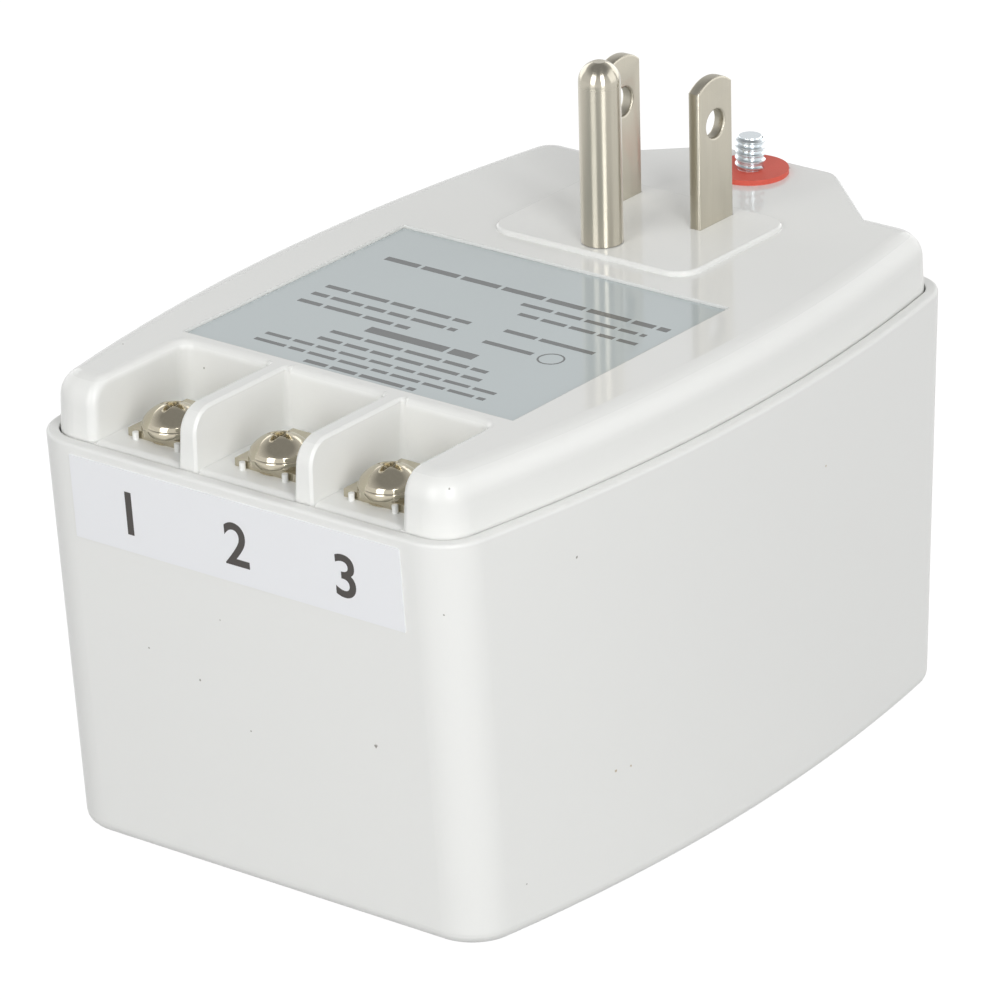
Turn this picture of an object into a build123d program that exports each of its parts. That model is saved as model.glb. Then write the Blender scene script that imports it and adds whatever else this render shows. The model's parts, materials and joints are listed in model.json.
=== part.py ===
from build123d import *
from math import cos, radians, sin, sqrt, tan
import os

os.makedirs("parts", exist_ok=True)

# The transformer rests on the flat base of its case with the prongs pointing up.
# X runs across the case, Y from the terminal end (front) to the tab end (back), Z up.
# The origin is the middle of the base.

# Rear case: a deep tray with bulged long sides
case_length = 91.9
case_width = 65.8
case_height = 47.7
side_radius = 230.0
corner_radius = 5.6
front_draft = 4.0
back_draft = 1.8
side_draft = 1.0
case_wall = 2.1
floor_thickness = 2.4
base_edge_radius = 1.5
base_edge_steps = 5
rim_width = 1.4
rim_depth = 3.0
rim_edge_radius = 0.35
rim_edge_steps = 2
least_corner = 1.2

# Front cover: sits inside the rim and carries prongs, terminals and tab
cover_gap = 0.22
cover_rise = 6.8
cover_draft = 2.0
cover_edge_radius = 3.0
cover_wall = 2.2
pad_height = 0.6

# Terminal bays, moulded into the front end of the cover
bay_row_margin = 12.15
bay_depth = 15.35
bay_floor_above_rim = 0.1
bay_draft = 2.0
bay_corner_radius = 1.3
bay_edge_radius = 1.05
bay_lip_radius = 1.2
middle_bay_extra = 1.07
partition_width = 2.5
partition_root_radius = 1.1
partition_top_root_radius = 0.2
partition_edge_bevel = 0.3

# Terminals
terminal_inward = 0.18
terminal_to_front = 6.13
plate_side_room = 3.57
plate_thickness = 0.9
plate_ahead = 2.5
plate_behind = 7.3
plate_tail_width = 4.2
plate_fit = 0.1
collar_diameter = 5.4
collar_depth = 1.6
terminal_thread = 3.5
terminal_shank_length = 7.4
terminal_head_diameter = 7.0
terminal_head_side = 1.0
terminal_head_height = 2.5
terminal_dome_steps = 3
drive_slot_width = 0.9
drive_slot_depth = 1.2
drive_cross_span = 3.8
nub_radius = 0.35
nub_sides = 8
nub_spacing = 5.8

# Prongs of a grounded household plug
blade_spacing = 12.7
blade_thickness = 1.52
blade_width = 6.35
blade_shoulder_height = 15.9
blade_tip_rise = 1.6
blade_hole_diameter = 3.3
blade_hole_height = 11.7
blade_tip_bevel = 0.45
pin_to_blades = 11.9
pin_diameter = 4.76
pin_length = 21.2
pin_tip_flat = 1.4
pin_to_back = 27.15
pin_neck_diameter = 4.2
pin_neck_above_pad = 0.1
prong_flange = 1.2
blade_shoulder_margin = 1.0
pin_flange_margin = 1.2
pin_tail_length = 3.8
blade_tail_width = 4.0
pin_tail_diameter = 3.0
boss_height = 1.8
boss_margin = 1.6
pad_width = 27.6
pad_ahead_of_pin = 3.35
pad_behind_blades = 5.1
pad_corner_radius = 3.0
pad_edge_bevel = 0.2

# Mounting tab with its captive screw
screw_to_pin = 28.2
tab_thickness = 3.1
tab_root_margin = 12.5
tab_end_half_width = 8.2
tab_beyond_screw = 5.2
tab_root_before_screw = 5.9
tab_corner_radius = 2.5
tab_edge_bevel = 0.3
tab_screw_diameter = 3.5
tab_hole_diameter = 3.9
tab_screw_above_cover = 4.5
tab_screw_point = 0.5
tab_neck_diameter = 3.1
tab_neck_above_washer = 0.1
tab_head_diameter = 6.9
tab_head_height = 2.2
tab_head_bevel = 0.7
tab_slot_width = 1.1
tab_slot_depth = 1.1
washer_diameter = 8.8
washer_thickness = 0.6
channel_radius = 4.6

# Rating label in its shallow recess, and the paper label under the terminals
label_side_margin = 10.4
label_front_gap = 1.93
label_back_gap = 3.7
label_recess = 0.6
label_thickness = 0.25
label_fit = 0.1
paper_side_margin = 10.45
paper_height = 9.8
paper_thickness = 0.12
paper_below_rim = 1.2
paper_offset = -0.6

# Laminated core: E and I plates whose tongue is a third of their length
core_front_gap = 9.95
core_back_gap = 21.95
core_side_gap = 7.9
core_above_floor = 10.1
core_under_bays = 5.1
seat_size = 6.0
stop_thickness = 2.0
stop_height = 4.0
stop_gap = 0.2
post_size = 4.0
post_inset = 3.0

# Bobbin and windings
bobbin_wall = 0.9
bobbin_fit = 0.15
flange_thickness = 0.9
divider_thickness = 1.2
flange_side_gap = 0.3
flange_over_winding_y = 1.3
flange_over_winding_z = 3.0
flange_corner_radius = 1.5
winding_corner_radius = 4.0
tape_thickness = 0.35
winding_side_gap = 0.1

# Thermal fuse and leads
fuse_diameter = 2.2
fuse_length = 9.0
lead_width = 1.8
lead_thickness = 1.0
lead_bend = 1.3
lead_above_core = 0.2
lead_level_step = 0.8
lead_under_flange = 0.55
lead_ahead_of_bobbin = 0.3
lead_end_run = 1.3
lead_to_winding_end = 1.6
solder_margin = 0.1

# Sizes that follow from the ones above
cover_inset = rim_width + cover_gap
case_front = -case_length / 2
cover_top = case_height + cover_rise
pad_top = cover_top + pad_height
rim_ledge = case_height - rim_depth
bay_floor = case_height + bay_floor_above_rim
bay_floor_under = bay_floor - cover_wall
cover_under = cover_top - cover_wall
cover_front = case_front + cover_inset
bay_back = cover_front + bay_depth
terminal_y = cover_front + terminal_to_front
pin_y = case_length / 2 - pin_to_back
blade_y = pin_y + pin_to_blades
screw_y = pin_y + screw_to_pin
blade_length = blade_shoulder_height + blade_tip_rise
tab_under = cover_top - tab_thickness
tab_end = screw_y + tab_beyond_screw
tab_root_half_width = case_width / 2 - tab_root_margin
cover_channel_radius = channel_radius + cover_inset
boss_under = cover_under - boss_height
flange_under = boss_under - prong_flange
pin_tail_end = flange_under - pin_tail_length
bay_row_width = case_width - 2 * bay_row_margin
bay_share = (bay_row_width - 2 * partition_width) / 3
partition_pitch = bay_share + middle_bay_extra + partition_width
outer_bay_middle = (partition_pitch + partition_width + bay_row_width) / 4
terminal_pitch = outer_bay_middle - terminal_inward
plate_width = bay_share - plate_side_room
plate_top = bay_floor + plate_thickness
label_width = case_width - 2 * label_side_margin
label_front = bay_back + label_front_gap
label_back = pin_y - pad_ahead_of_pin - label_back_gap
paper_width = case_width - 2 * paper_side_margin
core_front = case_front + core_front_gap
core_back = case_length / 2 - core_back_gap
core_middle = (core_front + core_back) / 2
core_length = core_back - core_front
core_width = case_width - 2 * core_side_gap
tongue = core_length / 3
leg = tongue / 2
yoke = tongue / 2
window_length = core_width - 2 * yoke
window_depth = core_length / 2 - leg - tongue / 2
core_bottom = floor_thickness + core_above_floor
core_top = bay_floor_under - core_under_bays
stack_height = core_top - core_bottom
core_z = core_bottom + stack_height / 2
low_level = core_top + lead_above_core + lead_thickness / 2
middle_level = low_level + lead_level_step
blade_tail_end = low_level - lead_thickness / 2 - solder_margin
plate_tail_end = middle_level - lead_thickness / 2 - solder_margin
fuse_z = flange_under - lead_under_flange - lead_thickness / 2
tape_top = fuse_z - fuse_diameter / 2
winding_rise_z = tape_top - tape_thickness - core_top
winding_rise_y = window_depth - flange_side_gap - flange_over_winding_y
flange_rise_y = window_depth - flange_side_gap
flange_rise_z = winding_rise_z + flange_over_winding_z
past = 1.0


def write(shape, node):
    """Write one piece of the transformer to its own file."""
    export_step(shape, "parts/" + node + ".step")


def plan(front, back, half_width, bulge, corner, level):
    """Plan outline at a level: straight ends, long sides bulged to a radius, rounded corners."""

    def half_width_at(y):
        return half_width - (bulge - sqrt(bulge**2 - y**2))

    front_corner = half_width_at(front)
    back_corner = half_width_at(back)
    sides = [
        Line((-front_corner, -front), (front_corner, -front)),
        ThreePointArc((front_corner, -front), (half_width, 0), (back_corner, back)),
        Line((back_corner, back), (-back_corner, back)),
        ThreePointArc((-back_corner, back), (-half_width, 0), (-front_corner, -front)),
    ]
    outline = make_face(sides)
    outline = fillet(outline.vertices(), max(corner, least_corner))
    return Pos(0, 0, level) * outline


def case_plan(level, inset=0.0):
    """Outline of the drafted case at a level, moved inwards by the inset."""
    drop = case_height - level
    return plan(
        case_length / 2 - drop * tan(radians(front_draft)) - inset,
        case_length / 2 - drop * tan(radians(back_draft)) - inset,
        case_width / 2 - drop * tan(radians(side_draft)) - inset,
        side_radius - inset,
        corner_radius - inset,
        level,
    )


def cover_block(inset, rise):
    """Part of the cover above the rim, or the room in it, with its draft on all sides."""
    total = cover_inset + inset
    outline = plan(
        case_length / 2 - total,
        case_length / 2 - total,
        case_width / 2 - total,
        side_radius - total,
        corner_radius - total,
        case_height,
    )
    return extrude(outline, rise, taper=cover_draft)


def through(outlines):
    """Solid with straight walls from each outline to the next."""
    return loft(outlines, ruled=True)


def rounding(radius, steps):
    """Height and inset of each step of a rounded bottom edge, from the bottom up."""
    places = []
    for step in range(steps + 1):
        angle = radians(90) * step / steps
        places.append((radius * (1 - cos(angle)), radius * (1 - sin(angle))))
    return places


def slab(x_low, x_high, y_low, y_high, z_low, z_high):
    """Block given by its limits."""
    block = Box(x_high - x_low, y_high - y_low, z_high - z_low)
    return Pos((x_low + x_high) / 2, (y_low + y_high) / 2, (z_low + z_high) / 2) * block


def upright(radius, z_low, z_high, x=0.0, y=0.0):
    """Upright cylinder given by its ends."""
    low = (Align.CENTER, Align.CENTER, Align.MIN)
    return Pos(x, y, z_low) * Cylinder(radius, z_high - z_low, align=low)


def rounded_block(width, depth, corner, z_low, z_high, y=0.0):
    """Upright block with rounded vertical corners, centred across the case."""
    return Pos(0, y, z_low) * extrude(RectangleRounded(width, depth, corner), z_high - z_low)


# Rear case


def core_seats():
    """Four posts on the floor that carry the core by its corners, each with an end stop."""
    seats = []
    for x_side in (-1, 1):
        for y_side in (-1, 1):
            x = x_side * (core_width / 2 - seat_size / 2)
            end = core_middle + y_side * core_length / 2
            stop = end + y_side * (stop_gap + stop_thickness)
            inner = end - y_side * seat_size
            low, high = sorted((inner, stop))
            seats.append(
                slab(x - seat_size / 2, x + seat_size / 2, low, high, floor_thickness / 2, core_bottom)
            )
            low, high = sorted((end + y_side * stop_gap, stop))
            seats.append(
                slab(
                    x - seat_size / 2,
                    x + seat_size / 2,
                    low,
                    high,
                    core_bottom - past,
                    core_bottom + stop_height,
                )
            )
    return seats


def make_rear_case():
    """Deep tray with a stepped rim and a screwdriver channel down the middle of its back."""
    outlines = []
    for height, inset in rounding(base_edge_radius, base_edge_steps):
        outlines.append(case_plan(height, inset))
    for depth, inset in reversed(rounding(rim_edge_radius, rim_edge_steps)):
        outlines.append(case_plan(case_height - depth, inset))
    body = through(outlines)
    hollow = through(
        [case_plan(floor_thickness, case_wall), case_plan(case_height + past, case_wall)]
    )
    hollow -= upright(channel_radius + case_wall, 0, case_height + 2 * past, 0, screw_y)
    step = through([case_plan(rim_ledge, rim_width), case_plan(case_height + past, rim_width)])
    step -= upright(channel_radius + rim_width, 0, case_height + 2 * past, 0, screw_y)
    body -= hollow
    body -= step
    body -= upright(channel_radius, -past, case_height + past, 0, screw_y)
    seats = core_seats()
    return body + seats


# Front cover


def bay_spread(level):
    """How far the walls of the bays have moved apart at a level, by their draft."""
    return (level - bay_floor) * tan(radians(bay_draft))


def bay_row():
    """Open space of all three bays, wider at the top by its draft, with rounded rear corners."""
    front = case_front - past
    depth = bay_back - front
    outline = Pos(0, front + depth / 2, bay_floor) * Rectangle(bay_row_width, depth)
    outline = fillet(outline.vertices().group_by(Axis.Y)[-1], bay_corner_radius)
    return extrude(outline, cover_top + past - bay_floor, taper=-bay_draft)


def bay_lip():
    """What the rounded front edge of the bay floor leaves away."""
    half = bay_row_width / 2
    corner = slab(
        -half,
        half,
        case_front - past,
        cover_front + bay_lip_radius,
        bay_floor - bay_lip_radius,
        bay_floor + past,
    )
    edge = Rot(0, 90, 0) * Cylinder(bay_lip_radius, bay_row_width + 2 * past)
    return corner - Pos(0, cover_front + bay_lip_radius, bay_floor - bay_lip_radius) * edge


def partition_plan(x, level, root_radius):
    """Outline of a partition at a level, with its rounded root at the rear wall."""
    half = partition_width / 2 - bay_spread(level)
    back = bay_back + bay_spread(level)
    root = half + root_radius + partition_edge_bevel
    end = back + bay_edge_radius
    right = [(half, case_front - past), (half, back), (root, back), (root, end)]
    left = [(-x_place, y_place) for x_place, y_place in reversed(right)]
    outline = make_face(Polyline(right + left, close=True))
    inner = outline.vertices().filter_by(
        lambda corner: abs(corner.Y - back) < root_radius / 2 and abs(corner.X) < root - root_radius / 2
    )
    return Pos(x, 0, level) * fillet(inner, root_radius)


def make_partition(x, shell):
    """Upright wall between two bays, its front following the front of the cover."""
    low = bay_floor - bay_lip_radius
    wall = through(
        [
            partition_plan(x, low, partition_root_radius),
            partition_plan(x, cover_top, partition_top_root_radius),
        ]
    )
    wall = wall & shell
    thin_half = partition_width / 2 - bay_spread(cover_top)
    middle = (cover_front + bay_back) / 2
    sides = wall.edges().filter_by(
        lambda edge: edge.center().Z > bay_floor - bay_lip_radius / 2
        and edge.center().Y < middle + past
        and abs(edge.center().X - x) > thin_half - bay_edge_radius / 10
    )
    return chamfer(sides, partition_edge_bevel)


def terminal_places():
    """Places of the three terminals across the case."""
    return [-terminal_pitch, 0.0, terminal_pitch]


def cover_hollow():
    """Room under the cover, kept clear of the walls of the bays and of the channel."""
    skirt = cover_inset + cover_wall
    room = through([case_plan(rim_ledge - past, skirt), case_plan(case_height, skirt)])
    room += cover_block(cover_wall, cover_rise - cover_wall)
    reach = bay_row_width / 2 + cover_wall
    room -= slab(
        -reach, reach, case_front - past, bay_back + cover_wall, bay_floor_under, cover_top + past
    )
    return room - upright(cover_channel_radius + cover_wall, 0, cover_top, 0, screw_y)


def tab_plate():
    """Flat mounting tab that narrows towards its end, flush with the top of the cover."""
    root = screw_y - tab_root_before_screw
    corners = [
        (-tab_root_half_width, root),
        (tab_root_half_width, root),
        (tab_end_half_width, tab_end),
        (-tab_end_half_width, tab_end),
    ]
    outline = make_face(Polyline(corners, close=True))
    outline = fillet(outline.vertices().group_by(Axis.Y)[-1], tab_corner_radius)
    plate = Pos(0, 0, tab_under) * extrude(outline, tab_thickness)
    rim = plate.edges().filter_by(lambda edge: edge.center().Y > root + past)
    level = rim.filter_by(lambda edge: abs(edge.bounding_box().size.Z) < tab_edge_bevel)
    return chamfer(level, tab_edge_bevel)


def prong_pad():
    """Low raised pad around the prongs."""
    low = pin_y - pad_ahead_of_pin
    high = blade_y + pad_behind_blades
    pad = rounded_block(
        pad_width, high - low, pad_corner_radius, cover_top - past, pad_top, (low + high) / 2
    )
    return chamfer(pad.edges().group_by(Axis.Z)[-1], pad_edge_bevel)


def prong_boss():
    """Thicker part of the cover's underside that holds the prongs."""
    width = blade_spacing + blade_thickness + 2 * (blade_shoulder_margin + boss_margin)
    low = pin_y - pin_diameter / 2 - pin_flange_margin - boss_margin
    high = blade_y + blade_width / 2 + blade_shoulder_margin + boss_margin
    return rounded_block(
        width, high - low, least_corner, boss_under, cover_top - past, (low + high) / 2
    )


def clamp_posts():
    """Posts under the cover that hold the core down on its seats."""
    posts = []
    half = post_size / 2
    places = (
        (bay_row_width / 2, core_front + post_inset, bay_floor_under + past),
        (core_width / 2 - post_inset, core_back - post_inset, cover_under + past),
    )
    for reach, y, top in places:
        for side in (-1, 1):
            x = side * reach
            posts.append(slab(x - half, x + half, y - half, y + half, core_top, top))
    return posts


def plate_nubs():
    """Small upright nubs in front of each terminal plate."""
    nubs = []
    y = terminal_y - plate_ahead - nub_radius - plate_fit
    for x in terminal_places():
        for side in (-1, 1):
            place = Pos(x + side * nub_spacing / 2, y, bay_floor - past)
            height = plate_thickness + past
            nubs.append(extrude(place * RegularPolygon(nub_radius, nub_sides), height))
    return nubs


def make_front_cover():
    """Moulded cover: drafted walls, rounded top edge, bays, label recess, pad and tab."""
    upper = cover_block(0, cover_rise)
    upper = fillet(upper.edges().group_by(Axis.Z)[-1], cover_edge_radius)
    skirt = through([case_plan(rim_ledge, cover_inset), case_plan(case_height, cover_inset)])
    shell = skirt + upper
    body = shell - bay_row()
    reach = bay_row_width / 2 + bay_edge_radius
    bay_edges = body.edges().filter_by(
        lambda edge: edge.center().Z > cover_top - bay_edge_radius / 10
        and edge.center().Y < bay_back + bay_edge_radius
        and abs(edge.center().X) < reach
    )
    body = fillet(bay_edges, bay_edge_radius)
    body -= bay_lip()
    for side in (-1, 1):
        body += make_partition(side * partition_pitch / 2, shell)
    body += tab_plate()
    body -= cover_hollow()
    body += prong_boss()
    body += prong_pad()
    body += clamp_posts()
    body += plate_nubs()
    body -= slab(
        -label_width / 2,
        label_width / 2,
        label_front,
        label_back,
        cover_top - label_recess,
        cover_top + past,
    )
    body -= upright(cover_channel_radius, 0, tab_under, 0, screw_y)
    body -= upright(tab_hole_diameter / 2, 0, cover_top + past, 0, screw_y)
    body -= upright(pin_neck_diameter / 2, boss_under - past, pad_top + past, 0, pin_y)
    for side in (-1, 1):
        x = side * blade_spacing / 2
        body -= slab(
            x - blade_thickness / 2,
            x + blade_thickness / 2,
            blade_y - blade_width / 2,
            blade_y + blade_width / 2,
            boss_under - past,
            pad_top + past,
        )
    for x in terminal_places():
        body -= upright(collar_diameter / 2, 0, bay_floor + past, x, terminal_y)
        body -= slab(
            x - plate_tail_width / 2 - plate_fit,
            x + plate_tail_width / 2 + plate_fit,
            terminal_y + plate_behind - plate_thickness - plate_fit,
            terminal_y + plate_behind + plate_fit,
            0,
            bay_floor + past,
        )
    return body


# Prongs


def make_blade(side):
    """Flat blade with a bowed, bevelled tip, a hole, and a shoulder and tail under the cover."""
    half = blade_width / 2
    side_view = [
        Line((-half, boss_under), (half, boss_under)),
        Line((half, boss_under), (half, pad_top + blade_shoulder_height)),
        ThreePointArc(
            (half, pad_top + blade_shoulder_height),
            (0, pad_top + blade_length),
            (-half, pad_top + blade_shoulder_height),
        ),
        Line((-half, pad_top + blade_shoulder_height), (-half, boss_under)),
    ]
    flat = extrude(Plane.YZ * make_face(side_view), blade_thickness / 2, both=True)
    tip = flat.edges().filter_by(
        lambda edge: edge.center().Z > pad_top + blade_shoulder_height
        and abs(edge.center().X) > blade_thickness / 4
    )
    flat = chamfer(tip, blade_tip_bevel)
    flat -= Pos(0, 0, pad_top + blade_hole_height) * (
        Rot(0, 90, 0) * Cylinder(blade_hole_diameter / 2, 2 * blade_thickness)
    )
    reach = blade_thickness / 2 + blade_shoulder_margin
    shoulder_end = half + blade_shoulder_margin
    flat += slab(-reach, reach, -shoulder_end, shoulder_end, flange_under, boss_under)
    flat += slab(
        -blade_thickness / 2,
        blade_thickness / 2,
        -blade_tail_width / 2,
        blade_tail_width / 2,
        blade_tail_end,
        flange_under,
    )
    return Pos(side * blade_spacing / 2, blade_y, 0) * flat


def make_ground_pin():
    """Round pin with a domed tip, turned with its thinner neck, its flange and its tail."""
    radius = pin_diameter / 2
    neck = pin_neck_diameter / 2
    neck_top = pad_top + pin_neck_above_pad
    tail = pin_tail_diameter / 2
    tip = pad_top + pin_length
    centre = tip - sqrt(radius**2 - (pin_tip_flat / 2) ** 2)
    middle_angle = radians(45)
    flange = radius + pin_flange_margin
    profile = [
        Line((0, pin_tail_end), (tail, pin_tail_end)),
        Line((tail, pin_tail_end), (tail, flange_under)),
        Line((tail, flange_under), (flange, flange_under)),
        Line((flange, flange_under), (flange, boss_under)),
        Line((flange, boss_under), (neck, boss_under)),
        Line((neck, boss_under), (neck, neck_top)),
        Line((neck, neck_top), (radius, neck_top)),
        Line((radius, neck_top), (radius, centre)),
        ThreePointArc(
            (radius, centre),
            (radius * cos(middle_angle), centre + radius * sin(middle_angle)),
            (pin_tip_flat / 2, tip),
        ),
        Line((pin_tip_flat / 2, tip), (0, tip)),
        Line((0, tip), (0, pin_tail_end)),
    ]
    return Pos(0, pin_y, 0) * revolve(Plane.XZ * make_face(profile), Axis.Z)


# Terminals


def make_terminal_plate(x, tail_end):
    """Wiring plate with a threaded collar under it and a tail bent down through the cover.

    The tails of the outer plates take the secondary leads.
    The tail of the middle plate stands on the core, which the ground pin is wired to.
    """
    front = terminal_y - plate_ahead
    back = terminal_y + plate_behind
    plate = slab(x - plate_width / 2, x + plate_width / 2, front, back, bay_floor, plate_top)
    plate += slab(
        x - plate_tail_width / 2,
        x + plate_tail_width / 2,
        back - plate_thickness,
        back,
        tail_end,
        bay_floor,
    )
    plate += upright(collar_diameter / 2, bay_floor - collar_depth, bay_floor, x, terminal_y)
    return plate - upright(terminal_thread / 2, 0, plate_top + past, x, terminal_y)


def make_terminal_screw(x):
    """Domed screw whose head takes a flat or a cross blade."""
    radius = terminal_head_diameter / 2
    top = plate_top + terminal_head_height
    dome = terminal_head_height - terminal_head_side
    ball = (radius**2 + dome**2) / (2 * dome)
    shank = terminal_thread / 2
    tip = plate_top - terminal_shank_length
    profile = [(0, tip), (shank, tip), (shank, plate_top), (radius, plate_top)]
    for step in range(terminal_dome_steps + 1):
        reach = radius * (1 - step / terminal_dome_steps)
        profile.append((reach, top - ball + sqrt(ball**2 - reach**2)))
    screw = revolve(Plane.XZ * make_face(Polyline(profile, close=True)), Axis.Z)
    bottom = top - drive_slot_depth
    half_slot = drive_slot_width / 2
    screw -= slab(-radius - past, radius + past, -half_slot, half_slot, bottom, top + past)
    screw -= slab(-half_slot, half_slot, -drive_cross_span / 2, drive_cross_span / 2, bottom, top + past)
    return Pos(x, terminal_y, 0) * screw


# Captive tab screw


def make_tab_screw():
    """Screw that stands up through the tab, with its slotted head under the tab.

    The washer sits on its thinner neck, so the thread can't drop back through it.
    """
    neck_top = cover_top + washer_thickness + tab_neck_above_washer
    tip = cover_top + tab_screw_above_cover
    screw = upright(tab_screw_diameter / 2, neck_top, tip)
    screw = chamfer(screw.edges().group_by(Axis.Z)[-1], tab_screw_point)
    screw += upright(tab_neck_diameter / 2, tab_under, neck_top)
    head = upright(tab_head_diameter / 2, tab_under - tab_head_height, tab_under)
    head = chamfer(head.edges().group_by(Axis.Z)[0], tab_head_bevel)
    head -= slab(
        -tab_head_diameter,
        tab_head_diameter,
        -tab_slot_width / 2,
        tab_slot_width / 2,
        0,
        tab_under - tab_head_height + tab_slot_depth,
    )
    return Pos(0, screw_y, 0) * (screw + head)


def make_tab_washer():
    """Thin fibre washer that keeps the screw in the tab."""
    ring = upright(washer_diameter / 2, cover_top, cover_top + washer_thickness, 0, screw_y)
    return ring - upright(tab_neck_diameter / 2, 0, pad_top + past, 0, screw_y)


# Labels


def make_rating_label():
    """Thin label lying in the recess of the cover."""
    bottom = cover_top - label_recess
    return slab(
        -label_width / 2 + label_fit,
        label_width / 2 - label_fit,
        label_front + label_fit,
        label_back - label_fit,
        bottom,
        bottom + label_thickness,
    )


def make_terminal_label():
    """Paper label stuck on the sloping front wall, under the terminals."""
    slope = radians(front_draft)
    middle = case_height - paper_below_rim - paper_height / 2 * cos(slope)
    wall = case_front + (case_height - middle) * tan(slope)
    sheet = Pos(0, -paper_thickness / 2, 0) * Box(paper_width, paper_thickness, paper_height)
    return Pos(paper_offset, wall, middle) * Rot(front_draft, 0, 0) * sheet


# Core, bobbin and windings


def make_core_e_stack():
    """Stack of E-shaped plates: yoke on the left, three legs to the right."""
    half_length = core_length / 2
    window_low = -core_width / 2 + yoke
    window_high = window_low + window_length
    stack = slab(
        -core_width / 2,
        window_high,
        core_middle - half_length,
        core_middle + half_length,
        core_bottom,
        core_top,
    )
    for side in (-1, 1):
        near = core_middle + side * tongue / 2
        far = core_middle + side * (half_length - leg)
        low, high = sorted((near, far))
        stack -= slab(window_low, window_high + past, low, high, core_bottom - past, core_top + past)
    return stack


def make_core_i_stack():
    """Stack of straight plates that closes the legs on the right."""
    return slab(
        core_width / 2 - yoke,
        core_width / 2,
        core_middle - core_length / 2,
        core_middle + core_length / 2,
        core_bottom,
        core_top,
    )


def ring(x_low, x_high, half_y, half_z, corner, hole_half_y, hole_half_z, hole_corner):
    """Rectangular ring around the tongue, with rounded corners."""
    outline = RectangleRounded(2 * half_y, 2 * half_z, corner)
    hole = Rectangle(2 * hole_half_y, 2 * hole_half_z)
    if hole_corner > 0:
        hole = RectangleRounded(2 * hole_half_y, 2 * hole_half_z, hole_corner)
    body = extrude(Plane.YZ * (outline - hole), x_high - x_low)
    return Pos(x_low, core_middle, core_z) * body


tube_inner_y = tongue / 2 + bobbin_fit
tube_inner_z = stack_height / 2 + bobbin_fit
tube_outer_y = tube_inner_y + bobbin_wall
tube_outer_z = tube_inner_z + bobbin_wall
bobbin_half = window_length / 2 - bobbin_fit
winding_low = divider_thickness / 2 + winding_side_gap
winding_high = bobbin_half - flange_thickness - winding_side_gap
winding_half_y = tongue / 2 + winding_rise_y
winding_half_z = stack_height / 2 + winding_rise_z
tape_half_y = winding_half_y + tape_thickness
tape_half_z = winding_half_z + tape_thickness
fuse_x = blade_spacing / 2
fuse_back = core_middle + fuse_length / 2


def make_bobbin():
    """Split bobbin: a square tube with two end flanges and a divider."""
    body = ring(
        -bobbin_half,
        bobbin_half,
        tube_outer_y,
        tube_outer_z,
        bobbin_wall / 2,
        tube_inner_y,
        tube_inner_z,
        0,
    )
    half_divider = divider_thickness / 2
    flanges = (
        (-bobbin_half, -bobbin_half + flange_thickness),
        (-half_divider, half_divider),
        (bobbin_half - flange_thickness, bobbin_half),
    )
    for x_low, x_high in flanges:
        body += ring(
            x_low,
            x_high,
            tongue / 2 + flange_rise_y,
            stack_height / 2 + flange_rise_z,
            flange_corner_radius,
            tube_inner_y,
            tube_inner_z,
            0,
        )
    return body


def span(side):
    """Left and right limits of a winding on one side of the divider."""
    return sorted((side * winding_low, side * winding_high))


def make_winding(side):
    """One winding, as the closed ring that its turns fill."""
    x_low, x_high = span(side)
    return ring(
        x_low,
        x_high,
        winding_half_y,
        winding_half_z,
        winding_corner_radius,
        tube_outer_y,
        tube_outer_z,
        bobbin_wall / 2,
    )


def make_tape(side):
    """Insulating tape round one winding."""
    x_low, x_high = span(side)
    return ring(
        x_low,
        x_high,
        tape_half_y,
        tape_half_z,
        winding_corner_radius + tape_thickness,
        winding_half_y,
        winding_half_z,
        winding_corner_radius,
    )


def make_thermal_fuse():
    """Thermal fuse lying on the primary winding."""
    body = Rot(90, 0, 0) * Cylinder(fuse_diameter / 2, fuse_length)
    return Pos(fuse_x, core_middle, fuse_z) * body


# Leads


def make_lead(route, name):
    """Flat insulated lead, straight runs joined by arcs, its volume checked against its length."""
    path = Line(*route) if len(route) == 2 else FilletPolyline(*route, radius=lead_bend)
    upright_run = route[0][2] != route[1][2]
    start = Plane(origin=route[0], x_dir=(0, 1, 0) if upright_run else (0, 0, 1), z_dir=path % 0)
    lead = sweep(start * Rectangle(lead_thickness, lead_width), path=path)
    section = lead_thickness * lead_width
    print(name, "volume over section times length", round(lead.volume / (section * path.length), 4))
    return lead


def make_leads():
    """Routes of the five leads inside the housing, by name."""
    blade_x = blade_spacing / 2
    blade_tail_front = blade_y - blade_tail_width / 2
    coil_back = core_middle + tape_half_y
    coil_front = core_middle - tape_half_y
    plate_tail_back = terminal_y + plate_behind
    bobbin_front = core_middle - tongue / 2 - flange_rise_y
    ahead_of_bobbin = bobbin_front - lead_ahead_of_bobbin - lead_width / 2
    near_divider = winding_low + lead_to_winding_end
    near_flange = winding_high - lead_to_winding_end
    return {
        "lead_line": [
            (blade_x, blade_tail_front, fuse_z),
            (fuse_x, fuse_back, fuse_z),
        ],
        "lead_neutral": [
            (-blade_x + blade_thickness / 2, blade_y, low_level),
            (near_divider, blade_y, low_level),
            (near_divider, coil_back, low_level),
        ],
        "lead_ground": [
            (0, pin_y, pin_tail_end),
            (0, pin_y, core_top),
        ],
        "lead_secondary_1": [
            (-near_flange, coil_front, middle_level),
            (-near_flange, coil_front - lead_end_run, middle_level),
            (-terminal_pitch, plate_tail_back + lead_end_run, middle_level),
            (-terminal_pitch, plate_tail_back, middle_level),
        ],
        "lead_secondary_2": [
            (-near_divider, coil_front, middle_level),
            (-near_divider, ahead_of_bobbin, middle_level),
            (terminal_pitch, ahead_of_bobbin, middle_level),
            (terminal_pitch, plate_tail_back, middle_level),
        ],
    }


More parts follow.
